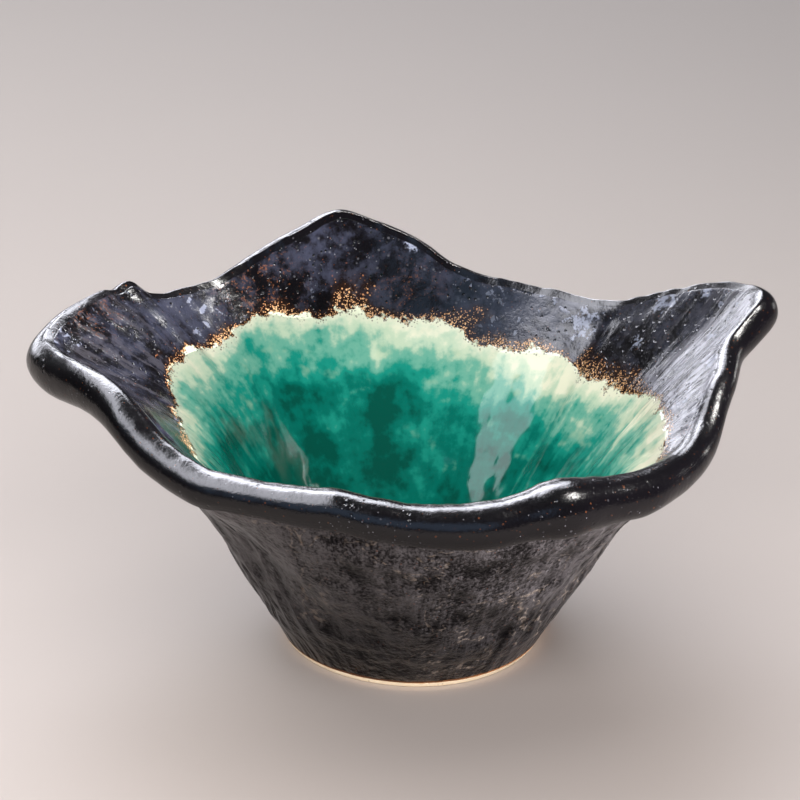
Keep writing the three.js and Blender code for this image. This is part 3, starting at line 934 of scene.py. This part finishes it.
# Painted sheen: the streaks in the hollow of the right ear are painted pale grey where the glaze
# mirrors the light.
ear_streak_sheen = over(coat, hollow, (0.060, 0.057, 0.068), (0.34, 0.34, 0.42))
streaked = over(coat, times(coat, ear, step(coat, streaks, 0.48, 0.62), 0.75), blued, ear_streak_sheen)
print("with the inner face:", len(coat.nodes), "nodes")

# %% [markdown]
# Rust and frost each belong to certain places, so we give those places as centres and sizes. Inside
# them a noise decides grain by grain, which keeps their edges crumbly. Rust is iron that came to
# the surface. Frost is pale blue, partly a skin of crystals that grew where the glaze cooled slowly
# and partly painted highlights, where the glossy inner face near the lip catches the light.

# %% Black coat: rust, and frost with painted highlights
# x, y, z, radius, in metres
RUST = [(-0.069, 0.014, 0.066, 0.011), (-0.034, 0.045, 0.062, 0.015),
        (0.062, -0.022, 0.053, 0.010), (0.000, 0.058, 0.056, 0.013)]
FROST_AND_GLINTS = [(0.0571, 0.0319, 0.0638, 0.0065), (0.0654, 0.0258, 0.0685, 0.0040),
         (0.0708, 0.0219, 0.0709, 0.0045), (0.0508, 0.0266, 0.0556, 0.0032),
         (0.0647, -0.0019, 0.0640, 0.0040), (0.0016, 0.0551, 0.0682, 0.0035),
         (-0.0124, 0.0493, 0.0583, 0.0030), (0.0400, 0.0405, 0.0550, 0.0075)]


def near_any(tree, place, patches):
    fades = []
    for *centre, radius in patches:
        away = put(tree, "ShaderNodeVectorMath", {0: place, 1: centre}, operation="DISTANCE")
        fades.append(rest(tree, step(tree, away.outputs[1], 0.3 * radius, radius)))
    return most(tree, *fades)


rust_grain = plus(coat, lerp(coat, ear, 0.5, line["Streak"]), times(coat, mottle, 0.4),
                  times(coat, grain, 0.9))
rusty = times(coat, near_any(coat, place, RUST), inside, step(coat, rust_grain, 1.16, 1.34),
              step(coat, noise(coat, place, 1300, 3, 0.7), 0.44, 0.60))
ironed = over(coat, times(coat, rusty, 0.75), streaked, (0.21, 0.075, 0.028))
# Pale crystal specks on the inner face, partly painted highlights.
crystal_glints = times(coat, inside, step(coat, noise(coat, place, 48, 2), 0.50, 0.62),
                step(coat, noise(coat, place, 420, 3, 0.6), 0.60, 0.66))
# Painted highlights: pale blue patches near the lip where the glossy glaze catches the light,
# partly frost crystals.
near_frost_and_glints = near_any(coat, place, FROST_AND_GLINTS)
crumbs = plus(coat, times(coat, near_frost_and_glints, 0.55), swing(coat, place, 520, 1.5, 4),
              centred(coat, grain, 0.8))
patch = times(coat, inside, step(coat, near_frost_and_glints, 0.02, 0.2), step(coat, crumbs, 0.42, 0.66))
frost_and_glint = most(coat, times(coat, crystal_glints, 0.4), times(coat, patch, 0.65))
frosted_and_glinted = over(coat, frost_and_glint, ironed, (0.38, 0.42, 0.56))
print(len(RUST), "places of rust and", len(FROST_AND_GLINTS), "of frost")

# %% [markdown]
# Last come the specks and pinholes, where the pale specks are partly painted glints of small bumps,
# and what the eye reads as touch: the wall is dull, the lip smooth, and the height makes the stone
# of the wall, the slow ripple of the inner face and the fine peel of the lip.

# %% Black coat: marks, roughness and height
# The pale specks are partly painted glints of small bumps.
pale_specks_and_glints = most(coat, times(coat, spot["Specks"], 0.4), dust_and_glints["Specks"])
specked = over(coat, times(coat, pale_specks_and_glints, 0.5), frosted_and_glinted, (0.26, 0.26, 0.29))
pitted = over(coat, spot["Pits"], specked, (0.0015, 0.0012, 0.002))
smooth = lerp(coat, wall, lerp(coat, inside, 0.19, 0.21), 0.33)
rough = plus(coat, smooth, centred(coat, grain, 0.14), centred(coat, cloud, 0.12))
drawn = times(coat, line["Streak"], most(coat, times(coat, wall, 0.6), ear), 0.00050)
peel = times(coat, noise(coat, place, 400, 1, 0.5), 0.00013)
stone = times(coat, wall, plus(coat, times(coat, mottle, 0.0012), times(coat, broad, 0.0030),
                               times(coat, side, cells, 0.0016)))
slow = noise(coat, scaled(coat, flow, (1, 1, 0.4)), 110, 2, 0.5, 0.3)
ripple = times(coat, inside, centred(coat, slow, 0.0008))
height = plus(coat, drawn, peel, stone, ripple,
              times(coat, grain, lerp(coat, wall, 0.00010, 0.00006)),
              times(coat, crystal_glints, 0.00004), times(coat, spot["Pits"], -0.00016))
give(coat, Colour=pitted, Roughness=rough, Metal=painted_shade_metal, Height=height)

# %% [markdown]
# ## The green coat
#
# It pools: thin near the line, where it stays a cloudy celadon, and thick lower
# down, where it turns emerald and then deep teal. Soft clouds and faint runs
# down the wall shift this depth from place to place. The runs stop on the
# floor, where nothing flows.

# %% Green coat: how deep it lies
well, given = shader_group(
    "green_coat",
    {"Place": ("vector", None), "Flow": ("vector", None), "Line": ("value", 0.0)},
    {"Colour": "colour", "Height": "value"},
)
place = given["Place"]
down = times(well, given["Line"], -1.0)
runs = noise(well, scaled(well, given["Flow"], (1, 1, 0.16)), 260, 3, 0.55, 0.2)
steep = rest(well, step(well, down, 0.028, 0.046))
runs = plus(well, 0.5, centred(well, runs, steep))
x = parts(well, place)[0]
right = step(well, x, 0.012, 0.050)
depth = plus(well, 0.14, times(well, step(well, down, -0.002, 0.024), 0.72),
             swing(well, place, 110, 1.0, 2), swing(well, place, 45, 0.50, 2),
             swing(well, place, 420, 0.45, 3), centred(well, runs, lerp(well, right, 0.30, 0.9)),
             times(well, x, -2.0))
print("depth takes", len(well.nodes), "nodes")


# %% Green coat: its colours
def ramp(tree, value, stops):
    made = put(tree, "ShaderNodeValToRGB", {0: value})
    made.color_ramp.interpolation = "EASE"
    points = made.color_ramp.elements
    while len(points) < len(stops):
        points.new(0.5)
    for point, (at, colour) in zip(points, stops):
        point.position, point.color = at, (*colour, 1.0)
    return made.outputs[0]


tint = ramp(well, depth, [
    (0.00, (0.88, 0.89, 0.70)), (0.20, (0.58, 0.73, 0.55)), (0.42, (0.16, 0.47, 0.36)),
    (0.62, (0.010, 0.30, 0.23)), (0.82, (0.001, 0.17, 0.13)), (1.00, (0.001, 0.09, 0.065)),
])
pale = times(well, step(well, noise(well, place, 190, 2, 0.5), 0.60, 0.74), 0.4)
waves = plus(well, times(well, noise(well, place, 90, 1), 0.0006), times(well, runs, 0.00003))
thin = rest(well, step(well, depth, 0.50, 0.80))
give(well, Colour=over(well, times(well, pale, thin), tint, (0.55, 0.68, 0.48)), Height=waves)

# %% [markdown]
# ## Where they melt together
#
# Above the line the black thins to dark brown and breaks into a scatter of
# orange dots, which crowd together and pale to cream at the line itself.
# Below it the green starts as a cream cloud. All of it hangs on one distance,
# shifted by noise at three sizes so that the line is ragged. At the back it
# stands a little above the seam of the two skins, as `CREEP` says.

# %% Melting line: how far away it is
melt, given = shader_group(
    "melting_line",
    {"Line": ("value", 0.0), "Place": ("vector", None), "Ear": ("value", 0.0)},
    {"Black": "value", "Brown": "value", "Fleck": "value", "Tone": "value", "Cream": "value"},
)
place = given["Place"]
away = plus(melt, given["Line"], swing(melt, place, 85, 0.009), swing(melt, place, 300, 0.0050),
            swing(melt, place, 1100, 0.0026))
black_side = step(melt, away, -0.0002, 0.0005)
wide = times(melt, step(melt, noise(melt, place, 75, 1), 0.40, 0.62),
             lerp(melt, given["Ear"], 1.0, 0.25))
reach = lerp(melt, wide, 0.0022, 0.0080)
across_it = calc(melt, "DIVIDE", most(melt, away, 0.0), reach)
thinning = rest(melt, calc(melt, "MINIMUM", across_it, 1.0))
print("distance takes", len(melt.nodes), "nodes")


# %% Melting line: flecks, teeth and cream
def dots(tree, place, size, share):
    cells = put(tree, "ShaderNodeTexVoronoi", {"Vector": place, "Scale": size})
    chance = put(tree, "ShaderNodeSeparateColor", {0: cells.outputs["Color"]}).outputs[0]
    kept = step(tree, minus(tree, share, chance), -0.02, 0.04)
    return times(tree, kept, rest(tree, step(tree, cells.outputs["Distance"], 0.30, 0.52)))


share = times(melt, thinning, thinning, 0.9)
flecks = most(melt, dots(melt, place, 1900.0, times(melt, share, 0.8)),
              dots(melt, place, 3200.0, share))
teeth = times(melt, dots(melt, place, 1900.0, 0.5), step(melt, away, -0.0016, -0.0001))
give(
    melt,
    Black=most(melt, black_side, times(melt, teeth, 0.8)),
    Brown=step(melt, thinning, 0.0, 0.7),
    Fleck=times(melt, flecks, black_side),
    Tone=plus(melt, thinning, swing(melt, place, 600, 0.9)),
    Cream=times(melt, step(melt, away, -0.0038, -0.0002), lerp(melt, given["Ear"], 0.75, 0.45)),
)

# %% [markdown]
# At the foot the coat thins out too. The sponge left its edge ragged, and the
# clay beside it is toasted orange-brown, because the glaze drew iron out of it.
# The bare clay itself is pale and sandy.

# %% Group: bare clay and the coat's lower edge
foot_edge, given = shader_group("foot_edge", {"Place": ("vector", None)},
                                {"Bare": "value", "Clay": "colour", "Sand": "value"})
place = given["Place"]
sand = noise(foot_edge, place, 900, 4, 0.7)
z = parts(foot_edge, place)[2]
level = plus(foot_edge, z, swing(foot_edge, place, 140, 0.0009),
             swing(foot_edge, place, 900, 0.0007))
iron_spot = use(foot_edge, spots, {"Place": place, "Size": 1100.0, "Amount": 0.75})
clay = over(foot_edge, sand, (0.86, 0.68, 0.47), (0.98, 0.88, 0.70))
toasted = over(foot_edge, step(foot_edge, level, 0.0011, 0.0017), clay, (0.62, 0.33, 0.14))
give(foot_edge, Bare=rest(foot_edge, step(foot_edge, level, 0.0019, 0.0022)), Sand=sand,
     Clay=over(foot_edge, times(foot_edge, iron_spot["Pits"], 0.7), toasted, (0.24, 0.12, 0.06)))

# %% [markdown]
# ## Finishes
#
# The two coats melt into each other, so one tree paints both: it places the
# groups, lays the flecked edge between them and drives one Principled BSDF.
# Each coat has its own copy, so it can be given another colour later. The
# black glaze is full of iron and mirrors a little more than the green, which
# is why each copy has its own index of refraction.

# %% Helpers for a finish
def start_finish(name):
    material = bpy.data.materials.new(name)
    material.use_nodes = True
    tree = material.node_tree
    place = put(tree, "ShaderNodeTexCoord").outputs["Object"]
    return material, tree, tree.nodes["Principled BSDF"], place


def note_of(tree, label, output="Fac"):
    return put(tree, "ShaderNodeAttribute", attribute_name=label).outputs[output]


def raise_by(tree, shader, height, strength):
    bump = put(tree, "ShaderNodeBump", {"Height": height, "Distance": 1.0, "Strength": strength})
    tree.links.new(bump.outputs[0], shader.inputs["Normal"])


# %% Black and green finishes
def melted_glazes(name, refraction):
    material, tree, shader, place = start_finish(name)
    flow, line = note_of(tree, "flow", "Vector"), note_of(tree, "line")
    black = use(tree, coat, {"Place": place, "Flow": flow, "Wall": note_of(tree, "wall"),
                             "Inside": note_of(tree, "inside"), "Ear": note_of(tree, "ear")})
    green = use(tree, well, {"Place": place, "Flow": flow, "Line": line})
    edge = use(tree, melt, {"Line": line, "Place": place, "Ear": note_of(tree, "ear")})
    brown = over(tree, edge["Brown"], black["Colour"], (0.020, 0.008, 0.004))
    tone = over(tree, edge["Tone"], (0.33, 0.095, 0.026), (0.88, 0.54, 0.28))
    flecked = over(tree, edge["Fleck"], brown, tone)
    creamy = over(tree, edge["Cream"], green["Colour"], (0.86, 0.88, 0.70))
    melted = over(tree, edge["Black"], creamy, flecked)
    bare = use(tree, foot_edge, {"Place": place})
    toasted = over(tree, bare["Sand"], (0.05, 0.016, 0.005), (0.24, 0.095, 0.032))
    join(tree, shader.inputs["Base Color"], over(tree, bare["Bare"], melted, toasted))
    glazed = lerp(tree, edge["Black"], 0.08, black["Roughness"])
    join(tree, shader.inputs["Roughness"], lerp(tree, bare["Bare"], glazed, 0.85))
    # The black coat's painted shade, as metal.
    painted_shade_amount = times(tree, edge["Black"], rest(tree, bare["Bare"]), black["Metal"])
    join(tree, shader.inputs["Metallic"], painted_shade_amount)
    shader.inputs["IOR"].default_value = refraction
    raise_by(tree, shader, lerp(tree, edge["Black"], green["Height"], black["Height"]), 0.65)
    print(name, "has", len(tree.nodes), "nodes")
    return material


black_finish = melted_glazes("black_glaze", 1.43)
green_finish = melted_glazes("green_glaze", 1.36)

# %% Bare clay
clay_finish, tree, shader, place = start_finish("bare_clay")
bare = use(tree, foot_edge, {"Place": place})
join(tree, shader.inputs["Base Color"], bare["Clay"])
shader.inputs["Roughness"].default_value = 0.85
raise_by(tree, shader, times(tree, bare["Sand"], 0.00014), 0.7)
print(clay_finish.name, "has", len(tree.nodes), "nodes")

# %% Black glaze of the recess
recess_finish, tree, shader, place = start_finish("recess_glaze")
black = use(tree, coat, {"Place": place, "Flow": place, "Wall": 0.5, "Inside": 0.0, "Ear": 0.0})
join(tree, shader.inputs["Base Color"], black["Colour"])
join(tree, shader.inputs["Roughness"], black["Roughness"])
raise_by(tree, shader, black["Height"], 0.6)
print(recess_finish.name, "has", len(tree.nodes), "nodes")

# %% Work the coats and dress every piece
work(black_glaze, relief_tree("worked_black", black_finish), DEPTHS)
work(green_glaze, relief_tree("worked_green", green_finish), DEPTHS)
clay_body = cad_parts["stoneware_body"]
clay_body.data.materials.clear()
for piece, finish in ((foot_ring, clay_finish), (recess_glaze, recess_finish),
                      (clay_body, clay_finish)):
    piece.data.materials.append(finish)
    print(piece.name, "wears", finish.name)

# %% Tie each piece to the solid one
for piece, slot, solid in (
    (black_glaze, "black_glaze", "black_glaze_coat"),
    (green_glaze, "green_glaze", "green_glaze_coat"),
    (foot_ring, "bare_clay", "foot_ring"),
    (recess_glaze, "black_glaze", "base_glaze"),
):
    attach(piece, "root")
    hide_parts(solid)
    print(piece.name, "stands for", solid)

# %% [markdown]
# ## Floor, light and camera
#
# A pale floor, with painted shade that darkens it towards the back and the right. A glaze is seen
# by what it mirrors, so there are two sets of lamps. The matt ones light the clay, the colours and
# the floor and are not mirrored: soft `room` lamps all round, one for the foot, and one low at the
# right that rakes across the wall, so that its dents show. The glossy ones are only mirrored: a
# wide window behind the bowl draws the highlight on the lip, one at the left shows in the green
# well, a low card greys the right ear, a faint sky lies in front, and small lamps give the glints.
# Each is placed by its direction and size as seen from the bowl, and by its brightness, and some
# light one coat only.

# %% Floor
FLOOR_BACK, FLOOR_SIDE, FLOOR_FRONT = 8, 6, -6
floor_mesh = bpy.data.meshes.new("floor")
floor_mesh.from_pydata([(-FLOOR_SIDE, FLOOR_FRONT, 0), (FLOOR_SIDE, FLOOR_FRONT, 0),
                        (FLOOR_SIDE, FLOOR_BACK, 0), (-FLOOR_SIDE, FLOOR_BACK, 0)],
                       [], [(0, 1, 2, 3)])
floor = bpy.data.objects.new("floor", floor_mesh)
bpy.context.scene.collection.objects.link(floor)
floor_finish, tree, shader, place = start_finish("floor")
shade = noise(tree, place, 6, 3)
pale = over(tree, shade, (0.64, 0.575, 0.545), (0.70, 0.63, 0.60))
x, y = parts(tree, place)[:2]
# Painted shade: the floor darkens towards the back and the right, as the light falls off.
painted_falloff = step(tree, plus(tree, y, times(tree, x, 0.6)), -0.30, 0.70)
join(tree, shader.inputs["Base Color"], over(tree, painted_falloff, pale, (0.22, 0.20, 0.19)))
shader.inputs["Roughness"].default_value = 0.7
floor_mesh.materials.append(floor_finish)
print("floor:", 2 * FLOOR_SIDE, "by", FLOOR_BACK - FLOOR_FRONT, "m")

# %% One lamp
LAMP_DISTANCE, BOWL_MIDDLE = 3.2, Vector((0, 0, 0.04))


def only(name, piece):
    pieces = bpy.data.collections.new(name)
    pieces.objects.link(piece)
    return pieces


black_pieces = only("black_pieces", black_glaze)
foot_pieces = only("foot_pieces", foot_ring)
green_pieces = only("green_pieces", green_glaze)


# azimuth 0 is behind the bowl and 90 at its right; angles as seen from the bowl
def softbox(name, azimuth, elevation, wide, tall, brightness, tint, seen, lights=None):
    turn, lift = math.radians(azimuth), math.radians(elevation)
    size = [2 * LAMP_DISTANCE * math.tan(math.radians(angle) / 2) for angle in (wide, tall)]
    light = bpy.data.lights.new(name, "AREA")
    light.shape, light.size, light.size_y = "RECTANGLE", *size
    light.energy, light.color = math.pi * size[0] * size[1] * brightness, tint
    lamp = bpy.data.objects.new(name, light)
    toward = Vector((math.sin(turn) * math.cos(lift), math.cos(turn) * math.cos(lift),
                     math.sin(lift)))
    lamp.location = BOWL_MIDDLE + LAMP_DISTANCE * toward
    lamp.rotation_euler = (-toward).to_track_quat("-Z", "Y").to_euler()
    lamp.visible_diffuse, lamp.visible_glossy = seen != "glossy", seen != "matt"
    lamp.visible_camera = False
    lamp.light_linking.receiver_collection = lights
    bpy.context.scene.collection.objects.link(lamp)
    print(name, "is", round(light.energy, 1), "W")


# %% All lamps
WARM, COOL, LAMP = (1.0, 0.97, 0.95), (0.90, 0.91, 1.0), (1.0, 0.98, 0.95)
softbox("room_behind", -25, 36, 50, 40, 2.2, (1.0, 0.98, 0.96), "matt")
softbox("room_above", -20, 70, 70, 60, 1.3, WARM, "matt")
softbox("room_in_front", 172, 35, 90, 50, 2.6, (1.0, 0.96, 0.93), "matt")
softbox("window", -8, 47, 34, 26, 17.0, COOL, "glossy")
softbox("second_window", -70, 61, 76, 24, 13.0, COOL, "glossy", black_pieces)
softbox("side_window", -114, 43, 12, 15, 7.0, (0.90, 0.95, 1.0), "glossy", green_pieces)
softbox("sky_in_front", -160, 28, 60, 34, 1.1, (0.45, 0.66, 1.0), "glossy")
softbox("low_card", -26, 12, 46, 14, 9.0, COOL, "glossy", black_pieces)
softbox("lamp_behind", 55, 6, 4, 5, 30.0, LAMP, "glossy", black_pieces)
softbox("lamp_front", 103, 57, 8, 15, 115.0, LAMP, "glossy", black_pieces)
softbox("foot_lamp", 172, 14, 70, 18, 4.0, (1.0, 0.97, 0.93), "matt", foot_pieces)
softbox("wall_lamp", 98, 5, 36, 8, 150.0, (1.0, 0.96, 0.95), "matt", black_pieces)

# %% The room's own faint light
world = bpy.data.worlds.new("room")
world.use_nodes = True
backdrop = world.node_tree.nodes["Background"].inputs
backdrop["Color"].default_value, backdrop["Strength"].default_value = (0.95, 0.95, 1.0, 1), 0.06
bpy.context.scene.world = world
print("room light:", round(backdrop["Strength"].default_value, 2))

# %% [markdown]
# The camera stands a little way off with a long lens, 28 degrees above the
# foot. It looks slightly over the bowl, so that the bowl sits low in the frame.

# %% Camera
SENSOR, FRAME_PIXELS, FOCAL_PIXELS = 36, 800, 3192
VIEW_DISTANCE, VIEW_ELEVATION, LOOKS_DOWN, LOOKS_LEFT = 0.7, 28, 23.93, 0.2154
camera_data = bpy.data.cameras.new("camera")
camera_data.sensor_width = SENSOR
camera_data.lens = SENSOR * FOCAL_PIXELS / FRAME_PIXELS
camera = bpy.data.objects.new("camera", camera_data)
view_from = math.radians(VIEW_ELEVATION)
camera.location = (FOOT_CENTRE[0] / 1000,
                   FOOT_CENTRE[1] / 1000 - VIEW_DISTANCE * math.cos(view_from),
                   VIEW_DISTANCE * math.sin(view_from))
camera.rotation_euler = (math.radians(90 - LOOKS_DOWN), 0, math.radians(LOOKS_LEFT))
bpy.context.scene.collection.objects.link(camera)
bpy.context.scene.camera = camera
bpy.context.scene.view_settings.view_transform = "Standard"
print("lens:", round(camera_data.lens, 1), "mm")
